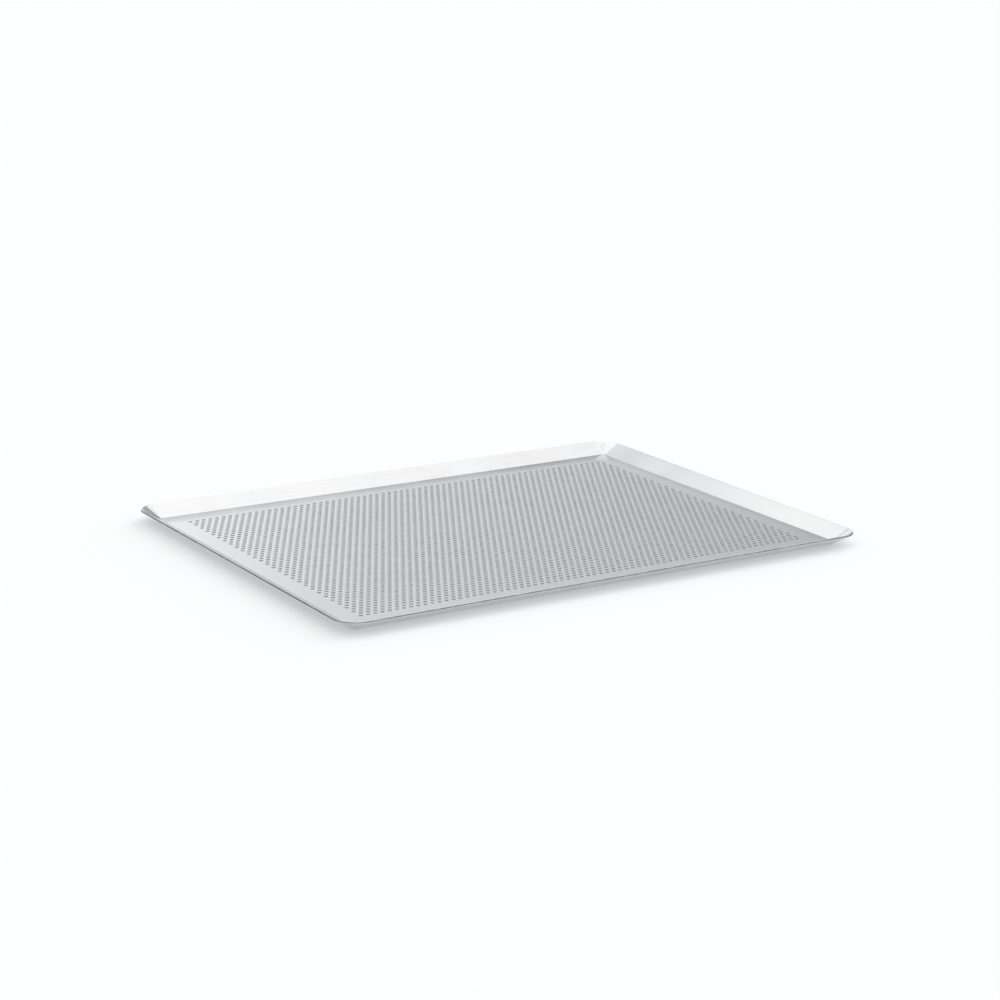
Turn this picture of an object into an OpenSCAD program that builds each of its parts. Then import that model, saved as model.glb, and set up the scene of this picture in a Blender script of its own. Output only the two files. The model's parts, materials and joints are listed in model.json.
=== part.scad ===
// Flat perforated baking tray with low sloping flanges all round.
// It is pressed from one aluminium sheet: the bottom and the flange rim are two solids that
// meet face to face where the flat bottom ends and the bend begins.
// X is the long side, Y the short side and Z is up.
// The origin is on the underside, at the centre of the tray.

/* [Tray] */
// Overall length, over the cut edges of the flanges
tray_length = 400; // [200:1:420]
// Overall width, over the cut edges of the flanges
tray_width = 300; // [150:1:320]
// Overall height, from the underside to the top of the cut edge
tray_height = 9; // [6:0.5:20]
// Thickness of the sheet
sheet_thickness = 1.5; // [1:0.1:2]

/* [Flange] */
// Slope of the flanges, from the horizontal
flange_angle = 30.5; // [25:0.5:60]
// Inside radius of the bend between the bottom and a flange
bend_radius = 1.5; // [1:0.1:3]
// Radius in plan of the bend line at the corners
corner_radius = 2; // [1.8:0.1:6]

/* [Perforation] */
// Diameter of each hole
hole_diameter = 3; // [2:0.1:4]
// Distance between neighbouring holes, the same in all three directions of the pattern
hole_pitch = 5.08; // [4.5:0.01:8]
// Least distance from the outermost holes' centres to the short ends of the flat bottom
end_margin = 14; // [8:0.5:40]
// Least distance from the outermost holes' centres to the long sides of the flat bottom
side_margin = 17; // [8:0.5:40]

/* [Hidden] */

// Lengths are kept to a hundredth of a millimetre, so that neighbouring faces match exactly
function hundredths(value) = round(value * 100) / 100;

// Horizontal and vertical part of the sheet's thickness at the cut edge of a flange
edge_out = sheet_thickness * sin(flange_angle);
edge_down = sheet_thickness * cos(flange_angle);

// Run in plan of a flange's upper face, from the sharp bend line to the cut edge
flange_run = (tray_height - sheet_thickness) / tan(flange_angle);

// The bend starts this far inside the sharp bend line, and the flat bottom ends there
bend_setback = bend_radius * tan(flange_angle / 2);

// Distance in plan from the end of the flat bottom to the outermost edge
flange_out = hundredths(bend_setback + flange_run + edge_out);

// Half the length and half the width of the flat bottom, and its corners
flat_x = tray_length / 2 - flange_out;
flat_y = tray_width / 2 - flange_out;
flat_corner_radius = hundredths(corner_radius - bend_setback);
corner_x = flat_x - flat_corner_radius;
corner_y = flat_y - flat_corner_radius;

// Staggered rows: every second row is shifted by half a pitch, so a row is half a pitch longer
row_spacing = hole_pitch * sqrt(3) / 2;
holes_per_row = floor(2 * (flat_x - end_margin) / hole_pitch + 0.5);
hole_rows = floor(2 * (flat_y - side_margin) / row_spacing) + 1;

// The bottom rises by this hair at its middle, as flat strips that are a few rows wide.
// The folds between the strips lie between rows, and the margins outside the rows are level.
bottom_crown = 0.05;
rows_per_strip = 5;
field_y = hole_rows * row_spacing / 2;

// Length by which the hole cutters pass each face
cut_extra = 1;

// Steps of the curves: round corners, holes and the bend in the flange's cross-section
curve_steps = 48;
hole_steps = 24;
bend_steps = 6;

// Outline of the flat bottom, a rectangle with small round corners
module flat_outline() {
    for (sx = [-1, 1])
        for (sy = [-1, 1])
            translate([sx * corner_x, sy * corner_y])
                circle(r = flat_corner_radius, $fn = curve_steps);
    square([2 * flat_x, 2 * corner_y], center = true);
    square([2 * corner_x, 2 * flat_y], center = true);
}

// Centres and outlines of all the holes
module hole_field() {
    for (row = [0 : hole_rows - 1]) {
        shift = (row % 2 == 0 ? -1 : 1) * hole_pitch / 4;
        y = (row - (hole_rows - 1) / 2) * row_spacing;
        for (column = [0 : holes_per_row - 1]) {
            x = (column - (holes_per_row - 1) / 2) * hole_pitch + shift;
            translate([x, y])
                circle(d = hole_diameter, $fn = hole_steps);
        }
    }
}

// Height of the underside at a distance from the centre line
function crown_at(y) = bottom_crown * max(0, 1 - pow(y / field_y, 2));

// Cross-section of the bottom, from one long side to the other
module crowned_section() {
    fold_rows = [for (row = [0 : rows_per_strip : hole_rows - 1]) row, hole_rows];
    folds = [for (row = fold_rows) row * row_spacing - field_y];
    underside = [[-flat_y, 0], for (y = folds) [y, crown_at(y)], [flat_y, 0]];
    upper_side = [for (i = [len(underside) - 1 : -1 : 0]) underside[i] + [0, sheet_thickness]];
    polygon(concat(underside, upper_side));
}

// Plate of the bottom before the holes are cut
module bottom_plate() {
    intersection() {
        rotate([90, 0, 90])
            linear_extrude(height = 2 * flat_x, center = true)
                crowned_section();
        translate([0, 0, -cut_extra])
            linear_extrude(height = sheet_thickness + 2 * cut_extra)
                flat_outline();
    }
}

// Cross-section of bend and flange: X is the distance outside the end of the flat bottom
module flange_profile() {
    turns = [for (i = [0 : bend_steps]) flange_angle * i / bend_steps];
    bend_centre = [0, sheet_thickness + bend_radius];
    upper_bend = [for (a = turns) bend_centre + bend_radius * [sin(a), -cos(a)]];
    lower_bend = [for (a = turns) bend_centre + (bend_radius + sheet_thickness) * [sin(a), -cos(a)]];
    cut_edge = [[flange_out - edge_out, tray_height], [flange_out, tray_height - edge_down]];
    lower_back = [for (i = [bend_steps : -1 : 0]) lower_bend[i]];
    polygon(concat(upper_bend, cut_edge, lower_back));
}

// Straight stretch of flange of a given length, whose bend starts at a given distance
module straight_flange(length, distance) {
    translate([distance, length / 2, 0])
        rotate([90, 0, 0])
            linear_extrude(height = length)
                flange_profile();
}

// Quarter turn of flange about the centre of a corner's arc
module corner_flange() {
    rotate_extrude(angle = 90, $fn = 4 * curve_steps)
        translate([flat_corner_radius, 0])
            flange_profile();
}

// Bottom with the whole field of holes
module perforated_bottom() {
    color("silver")
        difference() {
            bottom_plate();
            translate([0, 0, -cut_extra])
                linear_extrude(height = sheet_thickness + 2 * cut_extra)
                    hole_field();
        }
}

// Low sloping flange all the way round, with its bend and its rounded corners
module rim_flange() {
    color("gainsboro") {
        for (side = [0, 180])
            rotate(side)
                straight_flange(2 * corner_y, flat_x);
        for (side = [90, 270])
            rotate(side)
                straight_flange(2 * corner_x, flat_y);
        for (sx = [0, 1])
            for (sy = [0, 1])
                mirror([sx, 0, 0])
                    mirror([0, sy, 0])
                        translate([corner_x, corner_y, 0])
                            corner_flange();
    }
}

perforated_bottom();
rim_flange();
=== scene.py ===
"""Looks of a flat perforated baking tray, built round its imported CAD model.

Lengths are in metres and in the CAD model's own frame: X along the tray, Y across it, Z up,
with the origin on the underside at the centre.
"""
import json
import math

import bpy
from mathutils import Matrix, Vector
from mathutils.geometry import delaunay_2d_cdt


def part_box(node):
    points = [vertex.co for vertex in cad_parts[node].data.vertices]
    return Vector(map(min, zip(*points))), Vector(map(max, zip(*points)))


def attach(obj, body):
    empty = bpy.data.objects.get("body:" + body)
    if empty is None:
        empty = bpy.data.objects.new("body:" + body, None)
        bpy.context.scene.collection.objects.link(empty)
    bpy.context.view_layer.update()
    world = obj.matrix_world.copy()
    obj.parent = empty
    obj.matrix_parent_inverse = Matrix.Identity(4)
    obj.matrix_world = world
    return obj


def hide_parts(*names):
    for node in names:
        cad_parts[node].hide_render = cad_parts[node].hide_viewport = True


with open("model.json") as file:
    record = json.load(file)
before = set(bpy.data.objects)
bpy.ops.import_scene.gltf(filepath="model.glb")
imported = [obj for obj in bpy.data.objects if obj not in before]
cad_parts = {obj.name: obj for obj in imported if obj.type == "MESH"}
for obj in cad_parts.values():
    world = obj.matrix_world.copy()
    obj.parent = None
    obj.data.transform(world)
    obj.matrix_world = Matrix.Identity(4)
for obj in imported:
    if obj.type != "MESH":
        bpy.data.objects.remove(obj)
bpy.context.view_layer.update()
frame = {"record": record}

MM = 0.001

# Camera: where it looks from and what it looks at
CAMERA_AZIMUTH = math.radians(-32.86)
CAMERA_ELEVATION = math.radians(15.36)
CAMERA_ROLL = math.radians(1.01)
CAMERA_DISTANCE = 1.7384
CAMERA_TARGET = Vector((0.0480, 0.0677, 0.0))
CAMERA_LENS_MM = 87.28
CAMERA_SENSOR_MM = 36

# The pressed sheet, as the CAD model has it
FLANGE_ANGLE = math.radians(30.5)
BEND_RADIUS = 1.5 * MM
FLAT_CORNER_RADIUS = 1.59 * MM
HOLE_RADIUS = 1.5 * MM
HOLE_PITCH = 5.08 * MM
ROW_SPACING = HOLE_PITCH * math.sqrt(3) / 2
HOLES_PER_ROW = 68
HOLE_ROWS = 55

# Finish of the mesh: steps of its curves, and small lengths
HOLE_STEPS = 12
CORNER_STEPS = 16
BEND_STEPS = 5
SLOPE_STEPS = 4
EDGE_STEPS = 5
SIDE_STEP_LENGTH = 20 * MM
SEAM_LIP = 0.2 * MM
HOLE_RIM_WIDTH = 0.40 * MM
HOLE_RIM_DEPTH = 0.07 * MM
# Width of the lighter ring round each hole: wear, and painted highlight for light caught by the
# rolled hole rims
HOLE_WEAR_AND_HIGHLIGHT_WIDTH = 1.0 * MM
EDGE_ROUNDING = 0.3 * MM
SMOOTH_ANGLE = math.radians(40)
SKIN, CUT, WORN = range(3)

# Shares of a piece's own map: strips of the flange, and skins and hole walls of the bottom
MAP_STRIP = 0.25
MAP_USED = 0.96
MAP_SKIN = 0.48
MAP_WALL = 0.015
MAP_GAP = 0.01
LEAST_SLENDERNESS = 1e-4

# Light of the studio. Heights are sines of the angle above the horizon. The edges across the room
# are cosines of the angle from BACKDROP, or the share of a direction that points right
WALL_LEVELS = ((0.0, 0.90), (0.12, 0.70), (0.21, 1.0), (0.29, 0.91), (0.60, 0.62))
CEILING_EDGE = (0.575, 0.63)
CEILING_TILT = Vector((0.045, -0.054, 1.0))
CEILING_LEVELS = (1.37, 1.23)
CEILING_FADE = (0.40, 0.60)
ZENITH_EDGE = (0.955, 0.990)
ZENITH_DIMNESS = 0.55
BACKDROP = Vector((0.139, 0.990, 0.0))
BACKDROP_EDGE = (0.78, 0.975)
GLOW_EDGE = (0.925, 0.99)
GLOW_LEVEL = 0.45
ROOM_DIMNESS = 0.58
FILL_EDGE = (0.05, 0.60)
FILL_LEVEL = 1.0
WALL_TINT = (0.985, 1.0, 1.01, 1)
CEILING_TINT = (1.02, 1.0, 0.975, 1)

# Floor: it glows a little, which keeps the shadow pale
FLOOR_SIZE = 30.0
FLOOR_DROP = 0.2 * MM
FLOOR_COLOUR = (0.47, 0.477, 0.485, 1)
FLOOR_GLOW_COLOUR = (0.98, 1.0, 1.01, 1)
FLOOR_GLOW = 0.36
FLOOR_ROUGHNESS = 0.9

# Key light
KEY_ENERGY = 2.2
KEY_ANGLE = math.radians(55)
KEY_AZIMUTH = math.radians(70)
KEY_ELEVATION = math.radians(20)

# Rolled skin: blobs in a metre of its patterns, depths of its bumps, and its roughness, which is
# a least value plus a share of each pattern
GRAIN_SCALE = (90, 2600, 2600)
STREAK_SCALE = (14, 420, 420)
CLOUD_SCALE = 22
WAVE_SCALE = 9
GRAIN_DEPTH = 0.004 * MM
WAVE_DEPTH = 0.05 * MM
SKIN_ROUGHNESS = 0.08
GRAIN_ROUGHNESS = 0.08
STREAK_ROUGHNESS = 0.08
CLOUD_ROUGHNESS = 0.04
TONE_EDGE = (0.35, 0.65)
CLOUD_EDGE = (0.4, 0.7)
DARK_SHARE = 0.95
LIGHT_SHARE = 1.03
FLANGE_SKIN = (0.69, 0.705, 0.72)
BOTTOM_SKIN = (0.68, 0.706, 0.73)
# Colour of that ring round each hole: worn metal, lightened further with painted highlight
HOLE_WEAR_AND_HIGHLIGHT = (0.805, 0.825, 0.84, 1)
RIM_OVERLAP = 0.05 * MM

# Sheared faces: the same for their marks and stains, and the darkest and lightest colours
SHEAR_SCALE = (2400, 2400, 300)
STAIN_SCALE = 140
SHEAR_DEPTH = 0.01 * MM
SHEAR_ROUGHNESS = 0.36
MARK_ROUGHNESS = 0.25
STAIN_EDGE = (0.4, 0.65)
# Colours of the flange's cut edge: duller sheared metal, darkened much further with painted shade
# for the dark surroundings that the edge faces
CUT_EDGE_DULL_AND_SHADED_COLOURS = (0.22, 0.23, 0.24), (0.32, 0.33, 0.34)
HOLE_WALL_COLOURS = (0.56, 0.58, 0.60), (0.64, 0.66, 0.68)

# Worn edges: the same for rubbed stretches and nicks
RUBBED_SCALE = 60
RUBBED_EDGE = (0.42, 0.62)
NICK_SCALE = 900
NICK_EDGE = (0.60, 0.72)
NICK_DEPTH = 0.02 * MM
WORN_COLOURS = (0.66, 0.675, 0.69, 1), (0.80, 0.81, 0.82, 1)
WORN_ROUGHNESS = (0.26, 0.12)

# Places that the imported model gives
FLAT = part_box("perforated_bottom")[1]
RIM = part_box("rim_flange")[1]


def mount_height(name):
    """Height of one of the record's mounts above the underside."""
    return next(m["pos_m"][2] for m in frame["record"]["mounts"] if m["name"] == name)


THICKNESS = mount_height("baking_surface")


# ---------------------------------------------------------------- node trees

# Numbers of the colour sockets of Blender's Mix node
MIX_COLOUR_A = 6
MIX_COLOUR_B = 7
MIX_COLOUR_RESULT = 2


class Nodes:
    """Short forms for building a node tree."""

    def __init__(self, tree):
        self.tree = tree

    def new(self, kind, **settings):
        node = self.tree.nodes.new(kind)
        for key, value in settings.items():
            setattr(node, key, value)
        return node

    def put(self, value, socket):
        """Links a socket, or sets a plain value."""
        if isinstance(value, bpy.types.NodeSocket):
            self.tree.links.new(value, socket)
        else:
            socket.default_value = value

    def math(self, operation, *values):
        node = self.new("ShaderNodeMath", operation=operation)
        for value, socket in zip(values, node.inputs):
            self.put(value, socket)
        return node.outputs[0]

    def vector(self, operation, *values, output="Vector"):
        node = self.new("ShaderNodeVectorMath", operation=operation)
        for value, socket in zip(values, node.inputs):
            self.put(value, socket)
        return node.outputs[output]

    def ramp(self, value, low, high, to_low=0.0, to_high=1.0):
        """Smooth step from to_low at low to to_high at high."""
        node = self.new("ShaderNodeMapRange", interpolation_type="SMOOTHSTEP")
        for name, v in zip(("Value", "From Min", "From Max", "To Min", "To Max"),
                           (value, low, high, to_low, to_high)):
            self.put(v, node.inputs[name])
        return node.outputs["Result"]

    def noise(self, place, scale, stretch=(1, 1, 1), detail=3.0):
        """Noise value. scale is the number of blobs in a metre."""
        mapping = self.new("ShaderNodeMapping")
        self.put(place, mapping.inputs["Vector"])
        mapping.inputs["Scale"].default_value = stretch
        node = self.new("ShaderNodeTexNoise")
        self.put(mapping.outputs[0], node.inputs["Vector"])
        node.inputs["Scale"].default_value = scale
        node.inputs["Detail"].default_value = detail
        return node.outputs["Fac"]

    def mix(self, factor, a, b):
        """Mix of two colours. Their sockets go by number, because other kinds share their names."""
        node = self.new("ShaderNodeMix", data_type="RGBA")
        self.put(factor, node.inputs["Factor"])
        self.put(a, node.inputs[MIX_COLOUR_A])
        self.put(b, node.inputs[MIX_COLOUR_B])
        return node.outputs[MIX_COLOUR_RESULT]

    def bump(self, height, distance, normal=None):
        node = self.new("ShaderNodeBump")
        node.inputs["Distance"].default_value = distance
        self.put(height, node.inputs["Height"])
        if normal is not None:
            self.put(normal, node.inputs["Normal"])
        return node.outputs["Normal"]


# ---------------------------------------------------------------- camera, floor and light

def make_camera():
    """Camera at the angle that the tray is shown from."""
    azimuth, elevation = CAMERA_AZIMUTH, CAMERA_ELEVATION
    back = Vector((
        math.sin(azimuth) * math.cos(elevation),
        -math.cos(azimuth) * math.cos(elevation),
        math.sin(elevation),
    ))
    level = Vector((math.cos(azimuth), math.sin(azimuth), 0))
    upright = back.cross(level)
    right = level * math.cos(CAMERA_ROLL) + upright * math.sin(CAMERA_ROLL)
    up = upright * math.cos(CAMERA_ROLL) - level * math.sin(CAMERA_ROLL)
    data = bpy.data.cameras.new("camera")
    data.lens = CAMERA_LENS_MM
    data.sensor_width = CAMERA_SENSOR_MM
    data.clip_end = 100
    camera = bpy.data.objects.new("camera", data)
    turn = Matrix((right, up, back)).transposed().to_4x4()
    camera.matrix_world = Matrix.Translation(CAMERA_TARGET + back * CAMERA_DISTANCE) @ turn
    bpy.context.scene.collection.objects.link(camera)
    bpy.context.scene.camera = camera


def make_floor():
    """Plain pale floor just under the tray, clear from below, so that the underside can be seen."""
    mesh = bpy.data.meshes.new("floor")
    h = FLOOR_SIZE / 2
    corners = [(x, y, -FLOOR_DROP) for x, y in ((-h, -h), (h, -h), (h, h), (-h, h))]
    mesh.from_pydata(corners, [], [(0, 1, 2, 3)])
    floor = bpy.data.objects.new("floor", mesh)
    bpy.context.scene.collection.objects.link(floor)
    material = bpy.data.materials.new("floor_white")
    material.use_nodes = True
    shader = material.node_tree.nodes["Principled BSDF"]
    shader.inputs["Base Color"].default_value = FLOOR_COLOUR
    shader.inputs["Emission Color"].default_value = FLOOR_GLOW_COLOUR
    shader.inputs["Emission Strength"].default_value = FLOOR_GLOW
    shader.inputs["Roughness"].default_value = FLOOR_ROUGHNESS
    shader.inputs["Specular IOR Level"].default_value = 0.0
    n = Nodes(material.node_tree)
    both = n.new("ShaderNodeMixShader")
    n.put(n.new("ShaderNodeNewGeometry").outputs["Backfacing"], both.inputs[0])
    n.put(shader.outputs[0], both.inputs[1])
    n.put(n.new("ShaderNodeBsdfTransparent").outputs[0], both.inputs[2])
    n.put(both.outputs[0], material.node_tree.nodes["Material Output"].inputs["Surface"])
    mesh.materials.append(material)


def make_world():
    """Pale studio: a lit backdrop behind the tray, dimmer sides, a lit front and a bright ceiling.

    The backdrop glows most at its middle. The ceiling's edge is a little lower on the side that
    CEILING_TILT leans to, and the ceiling fades towards the right and straight above the tray.
    """
    world = bpy.data.worlds.new("studio")
    bpy.context.scene.world = world
    world.use_nodes = True
    n = Nodes(world.node_tree)
    direction = n.new("ShaderNodeTexCoord").outputs["Generated"]
    height = n.vector("DOT_PRODUCT", direction, CEILING_TILT, output="Value")
    bearing = n.vector("NORMALIZE", n.vector("MULTIPLY", direction, (1, 1, 0)))
    behind = n.vector("DOT_PRODUCT", bearing, BACKDROP, output="Value")
    rightward = n.vector("DOT_PRODUCT", direction, (1, 0, 0), output="Value")

    wall = n.new("ShaderNodeValToRGB")
    n.put(height, wall.inputs[0])
    ramp = wall.color_ramp
    ramp.interpolation = "EASE"
    while len(ramp.elements) < len(WALL_LEVELS):
        ramp.elements.new(0.5)
    for element, (at, level) in zip(ramp.elements, WALL_LEVELS):
        element.position = at
        element.color = (level, level, level, 1)

    room = n.ramp(behind, *FILL_EDGE, FILL_LEVEL, ROOM_DIMNESS)
    lit = n.math("ADD", n.ramp(behind, *BACKDROP_EDGE, room, 1.0),
                 n.ramp(behind, *GLOW_EDGE, 0.0, GLOW_LEVEL))
    ceiling = n.ramp(height, *CEILING_EDGE)
    lower = n.math("MULTIPLY", wall.outputs["Color"], lit)
    upper = n.math("MULTIPLY", n.ramp(rightward, *CEILING_FADE, *CEILING_LEVELS),
                   n.ramp(height, *ZENITH_EDGE, 1.0, ZENITH_DIMNESS))
    level = n.math("ADD", n.math("MULTIPLY", lower, n.math("SUBTRACT", 1.0, ceiling)),
                   n.math("MULTIPLY", upper, ceiling))
    background = world.node_tree.nodes["Background"]
    n.put(n.mix(ceiling, WALL_TINT, CEILING_TINT), background.inputs["Color"])
    n.put(level, background.inputs["Strength"])


def make_key_light():
    """Wide soft sun from behind on the right, which puts the shadow on the left and in front.

    The metal doesn't mirror it, or the tray's bottom would be blown out from the opposite side.
    """
    data = bpy.data.lights.new("key", "SUN")
    data.energy = KEY_ENERGY
    data.angle = KEY_ANGLE
    towards = Vector((
        math.sin(KEY_AZIMUTH) * math.cos(KEY_ELEVATION),
        math.cos(KEY_AZIMUTH) * math.cos(KEY_ELEVATION),
        math.sin(KEY_ELEVATION),
    ))
    light = bpy.data.objects.new("key", data)
    light.visible_glossy = False
    light.rotation_mode = "QUATERNION"
    light.rotation_quaternion = towards.to_track_quat("Z", "Y")
    bpy.context.scene.collection.objects.link(light)


# ---------------------------------------------------------------- materials

def hole_distance(n, place):
    """Distance from the centre of the nearest hole, and 1 where that hole exists."""
    nearest, exists = None, None
    for x_start, y_start in ((HOLE_PITCH / 4, ROW_SPACING), (-HOLE_PITCH / 4, 0)):
        moved = n.vector("SUBTRACT", place, (x_start, y_start, 0))
        half = Vector((HOLE_PITCH / 2, ROW_SPACING, 1))
        offset = n.vector("WRAP", moved, half, -half)
        flat_offset = n.vector("MULTIPLY", offset, (1, 1, 0))
        distance = n.vector("LENGTH", flat_offset, output="Value")
        centre = n.vector("ABSOLUTE", n.vector("SUBTRACT", place, flat_offset))
        split = n.new("ShaderNodeSeparateXYZ")
        n.put(centre, split.inputs[0])
        in_x = n.math("LESS_THAN", split.outputs["X"], HOLES_PER_ROW / 2 * HOLE_PITCH)
        in_y = n.math("LESS_THAN", split.outputs["Y"], HOLE_ROWS / 2 * ROW_SPACING)
        real = n.math("MULTIPLY", in_x, in_y)
        if nearest is None:
            nearest, exists = distance, real
        else:
            closer = n.math("LESS_THAN", distance, nearest)
            exists = n.math("ADD", n.math("MULTIPLY", closer, real),
                            n.math("MULTIPLY", n.math("SUBTRACT", 1.0, closer), exists))
            nearest = n.math("MINIMUM", distance, nearest)
    return nearest, exists


def new_metal(name):
    """New metal material: with its nodes, its shader and the place on the object."""
    material = bpy.data.materials.new(name)
    material.use_nodes = True
    n = Nodes(material.node_tree)
    shader = material.node_tree.nodes["Principled BSDF"]
    shader.inputs["Metallic"].default_value = 1.0
    return material, n, shader, n.new("ShaderNodeTexCoord").outputs["Object"]


def rolled_aluminium(name, colour, holes=False):
    """Satin rolled aluminium with a fine grain along the tray."""
    material, n, shader, place = new_metal(name)

    grain = n.noise(place, 1.0, GRAIN_SCALE, detail=2)
    streaks = n.noise(place, 1.0, STREAK_SCALE, detail=3)
    clouds = n.noise(place, CLOUD_SCALE, detail=3)

    dark = tuple(c * DARK_SHARE for c in colour) + (1,)
    light = tuple(c * LIGHT_SHARE for c in colour) + (1,)
    tone = n.math("ADD", n.math("MULTIPLY", grain, 0.5), n.math("MULTIPLY", clouds, 0.5))
    base = n.mix(n.ramp(tone, *TONE_EDGE), dark, light)

    rough = n.math("ADD", SKIN_ROUGHNESS, n.math("MULTIPLY", grain, GRAIN_ROUGHNESS))
    rough = n.math("ADD", rough, n.math("MULTIPLY", streaks, STREAK_ROUGHNESS))
    dull = n.math("MULTIPLY", n.ramp(clouds, *CLOUD_EDGE), CLOUD_ROUGHNESS)
    rough = n.math("ADD", rough, dull)

    normal = n.bump(n.noise(place, WAVE_SCALE, detail=0), WAVE_DEPTH)
    normal = n.bump(grain, GRAIN_DEPTH, normal)
    if holes:
        distance, exists = hole_distance(n, place)
        rim = n.ramp(distance, HOLE_RADIUS - RIM_OVERLAP, HOLE_RADIUS + HOLE_RIM_WIDTH, 1, 0)
        rim = n.math("MULTIPLY", rim, exists)
        # Lighter ring round each hole: wear, and painted highlight standing in for light caught by
        # the rolled hole rims
        around = n.ramp(distance, HOLE_RADIUS, HOLE_RADIUS + HOLE_WEAR_AND_HIGHLIGHT_WIDTH, 1, 0)
        around = n.math("MULTIPLY", around, exists)
        base = n.mix(around, base, HOLE_WEAR_AND_HIGHLIGHT)
        normal = n.bump(n.math("SUBTRACT", 0.0, rim), HOLE_RIM_DEPTH, normal)
    n.put(base, shader.inputs["Base Color"])
    n.put(rough, shader.inputs["Roughness"])
    n.put(normal, shader.inputs["Normal"])
    return material


def sheared_aluminium(name, dark, light):
    """Cut faces: duller than the rolled skin, with fine marks across the sheet."""
    material, n, shader, place = new_metal(name)
    marks = n.noise(place, 1.0, SHEAR_SCALE, detail=2)
    stain = n.noise(place, STAIN_SCALE, detail=2)
    base = n.mix(n.ramp(stain, *STAIN_EDGE), (*dark, 1), (*light, 1))
    rough = n.math("ADD", SHEAR_ROUGHNESS, n.math("MULTIPLY", marks, MARK_ROUGHNESS))
    n.put(base, shader.inputs["Base Color"])
    n.put(rough, shader.inputs["Roughness"])
    n.put(n.bump(marks, SHEAR_DEPTH), shader.inputs["Normal"])
    return material


def worn_aluminium():
    """Corners of the cut edge, rubbed bright by handling, with small nicks."""
    material, n, shader, place = new_metal("aluminium_worn_edge")
    rubbed = n.ramp(n.noise(place, RUBBED_SCALE, detail=3), *RUBBED_EDGE)
    nicks = n.ramp(n.noise(place, NICK_SCALE, detail=2), *NICK_EDGE)
    n.put(n.mix(rubbed, *WORN_COLOURS), shader.inputs["Base Color"])
    n.put(n.ramp(rubbed, 0.0, 1.0, *WORN_ROUGHNESS), shader.inputs["Roughness"])
    n.put(n.bump(n.math("SUBTRACT", 0.0, nicks), NICK_DEPTH), shader.inputs["Normal"])
    return material


# ---------------------------------------------------------------- the sheet

def rim_stations():
    """Steps round the tray: the point in plan that each ray starts from, and its direction."""
    reach_x = FLAT.x - FLAT_CORNER_RADIUS
    reach_y = FLAT.y - FLAT_CORNER_RADIUS
    signs = (1, 1), (-1, 1), (-1, -1), (1, -1)
    centres = [Vector((sx * reach_x, sy * reach_y)) for sx, sy in signs]
    sides = []
    for corner, centre in enumerate(centres):
        following = centres[(corner + 1) % 4]
        side = []
        for step in range(CORNER_STEPS + 1):
            angle = (corner + step / CORNER_STEPS) * math.pi / 2
            direction = Vector((math.cos(angle), math.sin(angle)))
            side.append((centre, direction))
        steps = round((following - centre).length / SIDE_STEP_LENGTH)
        side += [(centre.lerp(following, i / steps), direction) for i in range(1, steps)]
        sides.append(side)
    return sides


def rounded_corner(point, arriving, leaving):
    """Small arc in place of a square corner of the cross-section."""
    centre = point + EDGE_ROUNDING * (leaving - arriving)
    turns = [math.pi / 2 * i / EDGE_STEPS for i in range(EDGE_STEPS + 1)]
    return [centre + EDGE_ROUNDING * (arriving * math.sin(a) - leaving * math.cos(a)) for a in turns]


def flange_profile():
    """Closed cross-section: distance outside the end of the flat bottom, and height.

    Returns the points, and for each stretch from one to the next its look: skin, cut or worn.
    """
    bend_centre = Vector((0, THICKNESS + BEND_RADIUS))
    turns = [FLANGE_ANGLE * i / BEND_STEPS for i in range(BEND_STEPS + 1)]
    upper = [bend_centre + BEND_RADIUS * Vector((math.sin(a), -math.cos(a))) for a in turns]
    outer_radius = BEND_RADIUS + THICKNESS
    lower = [bend_centre + outer_radius * Vector((math.sin(a), -math.cos(a))) for a in turns]
    rising = Vector((math.cos(FLANGE_ANGLE), math.sin(FLANGE_ANGLE)))
    across = Vector((math.sin(FLANGE_ANGLE), -math.cos(FLANGE_ANGLE)))
    outer = Vector((RIM.x - FLAT.x, RIM.z - THICKNESS * math.cos(FLANGE_ANGLE)))
    inner = outer - across * THICKNESS
    cut = rounded_corner(inner, rising, across) + rounded_corner(outer, across, -rising)

    def slope(start, end):
        return [start.lerp(end, i / SLOPE_STEPS) for i in range(1, SLOPE_STEPS)]

    before = [Vector((-SEAM_LIP, THICKNESS))] + upper + slope(upper[-1], cut[0])
    after = slope(cut[-1], lower[-1]) + lower[::-1] + [Vector((-SEAM_LIP, 0))]
    edge = [WORN] * EDGE_STEPS + [CUT] + [WORN] * EDGE_STEPS
    return before + cut + after, [SKIN] * len(before) + edge + [SKIN] * (len(after) + 1)


def plan_point(station, distance):
    """Point in plan at a distance outside the end of the flat bottom."""
    centre, direction = station
    return centre + direction * (FLAT_CORNER_RADIUS + distance)


def shares_along(points):
    """For each point of a line, the share of its length that comes before it."""
    lengths = [0.0]
    for here, there in zip(points, points[1:]):
        lengths.append(lengths[-1] + (there - here).length)
    return [length / lengths[-1] for length in lengths]


def finished_piece(name, mesh, node, materials, looks, spots):
    """Object that stands for a CAD node.

    looks gives the number of each face's material, and spots the place of each face's corners
    on the piece's own map, which baked textures use.
    """
    texture_map = mesh.uv_layers.new(name="OFBake")
    texture_map.data.foreach_set("uv", [value for spot in spots for value in spot])
    for material in materials:
        mesh.materials.append(material)
    mesh.polygons.foreach_set("material_index", looks)
    mesh.shade_smooth()
    mesh.set_sharp_from_angle(angle=SMOOTH_ANGLE)
    piece = bpy.data.objects.new(name, mesh)
    bpy.context.scene.collection.objects.link(piece)
    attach(piece, "root")
    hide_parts(node)


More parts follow.
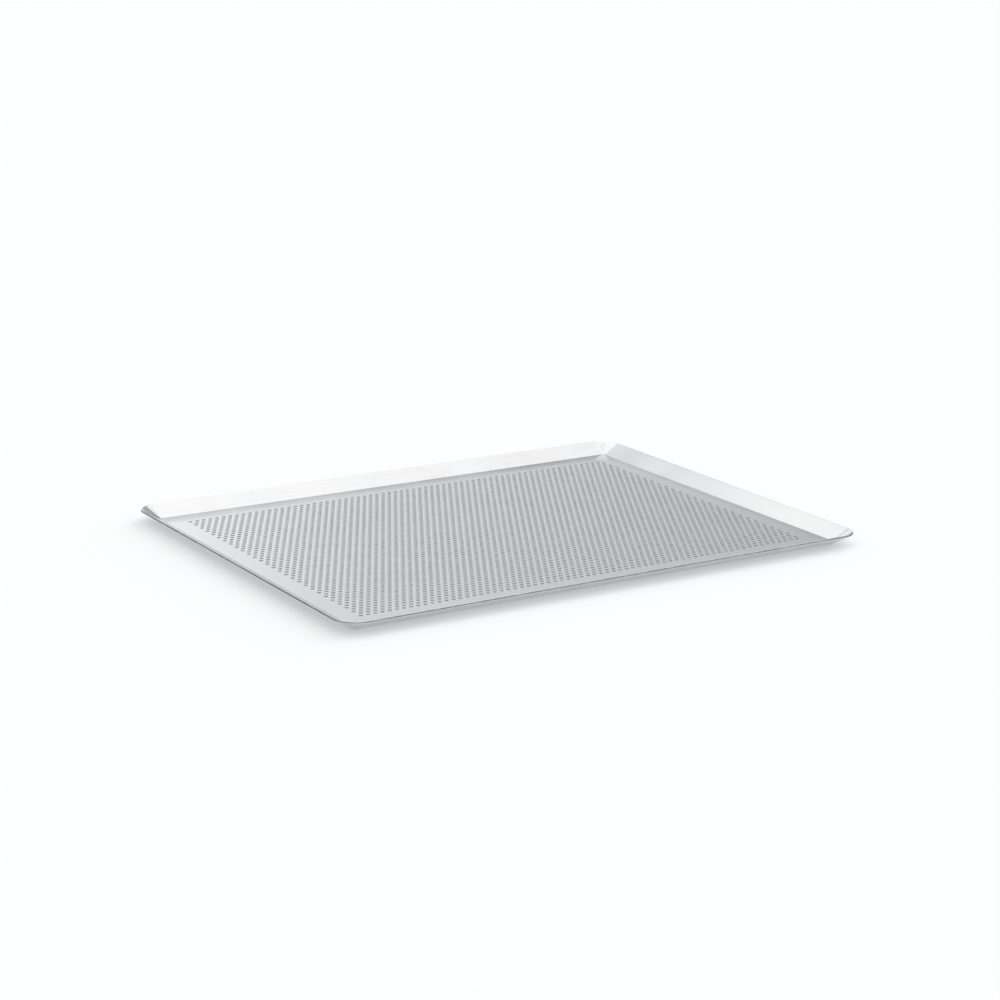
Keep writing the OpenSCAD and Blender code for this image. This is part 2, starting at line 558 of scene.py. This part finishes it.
def make_flange():
    """Bent-up part of the sheet: the cross-section taken once round the tray."""
    profile, looks = flange_profile()
    heights = shares_along(profile + profile[:1])
    sides = rim_stations()
    stations = [station for side in sides for station in side]
    rows, columns = len(stations), len(profile)
    points = [(*plan_point(s, p.x), p.y) for s in stations for p in profile]
    faces, spots = [], []
    for number, side in enumerate(sides):
        first = len(faces) // columns
        around = [stations[(first + i) % rows] for i in range(len(side) + 1)]
        across = shares_along([plan_point(station, RIM.x - FLAT.x) for station in around])
        for i in range(len(side)):
            here, after = (first + i) * columns, (first + i + 1) % rows * columns
            for j in range(columns):
                over = (j + 1) % columns
                faces.append((here + j, here + over, after + over, after + j))
                low, high = (MAP_STRIP * (number + MAP_USED * heights[k]) for k in (j, j + 1))
                spots += [(across[i], low), (across[i], high)]
                spots += [(across[i + 1], high), (across[i + 1], low)]
    mesh = bpy.data.meshes.new("tray_flange")
    mesh.from_pydata(points, [], faces)
    skin = rolled_aluminium("aluminium_flange", FLANGE_SKIN)
    # The cut edge's dark colours are partly painted shade, not only duller sheared metal
    cut = sheared_aluminium("aluminium_cut_edge_dull_and_shaded", *CUT_EDGE_DULL_AND_SHADED_COLOURS)
    finished_piece("tray_flange", mesh, "rim_flange",
                   [skin, cut, worn_aluminium()], looks * rows, spots)


def hole_rings():
    """Points in plan of every hole's edge, hole by hole."""
    turns = [2 * math.pi * (i + 0.5) / HOLE_STEPS for i in range(HOLE_STEPS)]
    ring = [Vector((math.cos(a), math.sin(a))) * HOLE_RADIUS for a in turns]
    rings = []
    for row in range(HOLE_ROWS):
        shift = HOLE_PITCH / 4 * (1 if row % 2 else -1)
        y = (row - (HOLE_ROWS - 1) / 2) * ROW_SPACING
        for column in range(HOLES_PER_ROW):
            x = (column - (HOLES_PER_ROW - 1) / 2) * HOLE_PITCH + shift
            rings.append([Vector((x, y)) + p for p in ring])
    return rings


def is_sliver(a, b, c):
    """True for a triangle whose corners lie on one line, as along a straight side."""
    longest = max((b - a).length_squared, (c - b).length_squared, (a - c).length_squared)
    return abs((b - a).cross(c - a)) < LEAST_SLENDERNESS * longest


def make_bottom():
    """Flat perforated part of the sheet, with every hole cut through it."""
    stations = [station for side in rim_stations() for station in side]
    loops = [[plan_point(s, -SEAM_LIP) for s in stations]] + hole_rings()
    plan, loop_of, edges = [], [], []
    for number, loop in enumerate(loops):
        first = len(plan)
        plan += loop
        loop_of += [number] * len(loop)
        edges += [(first + i, first + (i + 1) % len(loop)) for i in range(len(loop))]
    flat, _, triangles, _, _, _ = delaunay_2d_cdt(plan, edges, [], 0, 1e-9)
    if len(flat) != len(plan):
        raise RuntimeError("the triangulation added or merged points")
    count = len(flat)
    points = [(p.x, p.y, THICKNESS) for p in flat] + [(p.x, p.y, 0.0) for p in flat]
    upper = [(0.5 + p.x / (2 * FLAT.x), MAP_SKIN * (0.5 + p.y / (2 * FLAT.y))) for p in flat]
    lower = [(u, v + MAP_SKIN + MAP_GAP) for u, v in upper]
    faces, spots = [], []
    for a, b, c in triangles:
        in_hole = loop_of[a] == loop_of[b] == loop_of[c] != 0
        if in_hole or is_sliver(flat[a], flat[b], flat[c]):
            continue
        faces.append((a, b, c))
        faces.append((a + count, c + count, b + count))
        spots += [upper[a], upper[b], upper[c], lower[a], lower[c], lower[b]]
    flat_faces = len(faces)
    for a, b in edges:
        if loop_of[a] == 0:
            faces.append((b, a, a + count, b + count))
        else:
            faces.append((a, b, b + count, a + count))
        left = a % HOLE_STEPS / HOLE_STEPS
        right = left + 1 / HOLE_STEPS
        spots += [(left, 1.0), (right, 1.0), (right, 1.0 - MAP_WALL), (left, 1.0 - MAP_WALL)]
    mesh = bpy.data.meshes.new("tray_bottom")
    mesh.from_pydata(points, [], faces)
    looks = [SKIN] * flat_faces + [CUT] * (len(faces) - flat_faces)
    skin = rolled_aluminium("aluminium_bottom", BOTTOM_SKIN, holes=True)
    cut = sheared_aluminium("aluminium_hole_walls", *HOLE_WALL_COLOURS)
    finished_piece("tray_bottom", mesh, "perforated_bottom",
                   [skin, cut], looks, spots)


make_camera()
make_floor()
make_world()
make_key_light()
make_flange()
make_bottom()

bpy.context.scene.view_settings.view_transform = "Standard"
